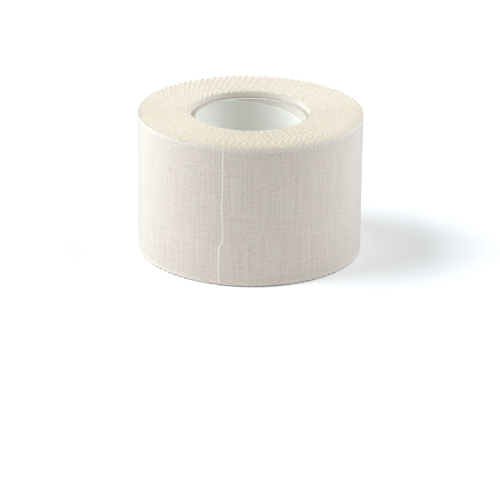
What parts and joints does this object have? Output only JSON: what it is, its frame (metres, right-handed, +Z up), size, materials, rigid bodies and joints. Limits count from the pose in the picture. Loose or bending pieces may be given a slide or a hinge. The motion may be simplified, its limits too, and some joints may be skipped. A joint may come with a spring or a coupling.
{
  "type": "athletic tape roll",
  "caption": "Upright roll of off-white cotton athletic tape with pinked zigzag edges, a torn end lying on its outer turn and a hollow paper core set back in the bore.",
  "frame": {"origin": "on the roll's axis, in the plane of the lower end face on which the roll stands", "axes": "+Z up along the roll's axis, from the lower end face to the upper one; -Y towards the side with the torn end"},
  "size_m": [0.078, 0.0782, 0.05],
  "materials": {
    "cotton_cloth": "plain woven cotton, matt, off-white, with a cream adhesive behind it that shows at the pinked edges",
    "core_board": "smooth pale grey paper board"
  },
  "bodies": {
    "root": {"tape_winding": "cotton_cloth", "core": "core_board"}
  },
  "joints": []
}
